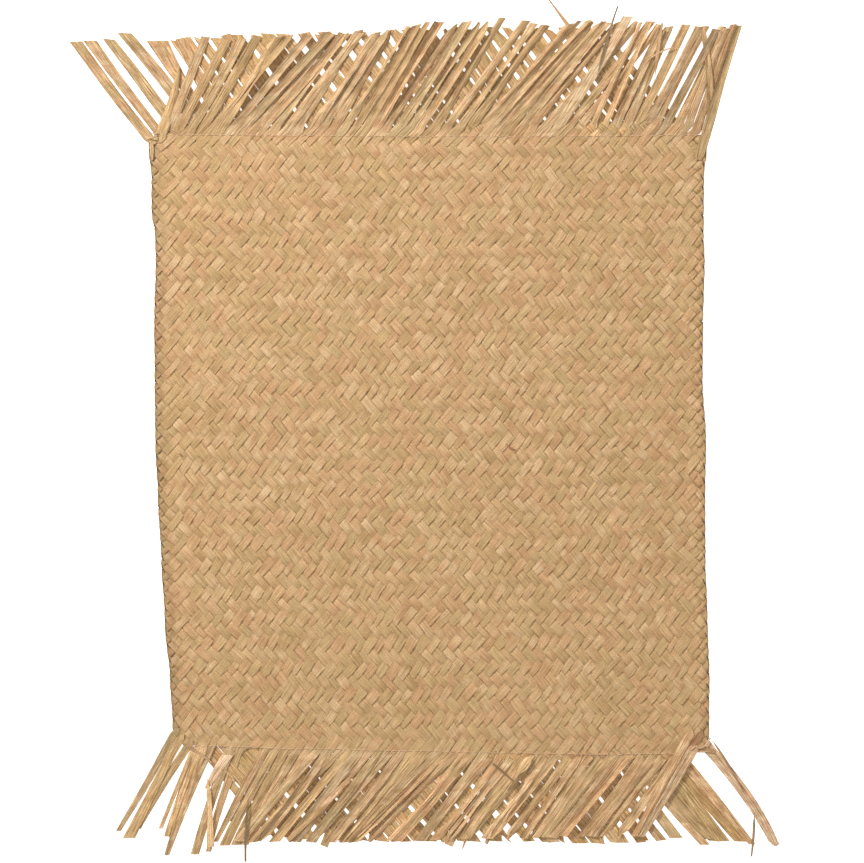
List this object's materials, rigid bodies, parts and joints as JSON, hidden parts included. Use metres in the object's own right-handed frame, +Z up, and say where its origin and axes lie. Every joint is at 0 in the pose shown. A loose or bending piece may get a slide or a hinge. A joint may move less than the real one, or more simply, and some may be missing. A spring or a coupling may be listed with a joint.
{
  "type": "placemat",
  "caption": "Flat placemat plaited from leaf strips in a diagonal twill, with folded sides and a loose slanting fringe at both ends.",
  "frame": {"origin": "middle of the plaited body's underside", "axes": "+Z up off the table, +Y along the length, +X across"},
  "size_m": [0.419, 0.5035, 0.0022],
  "materials": {
    "leaf_plait": "dry, faintly silky leaf strips",
    "leaf_fringe": "dry leaf strip ends",
    "thread": "matt sewing thread"
  },
  "bodies": {
    "root": {"mat": "leaf_plait", "fringe_top": "leaf_fringe", "fringe_bottom": "leaf_fringe"}
  },
  "joints": []
}
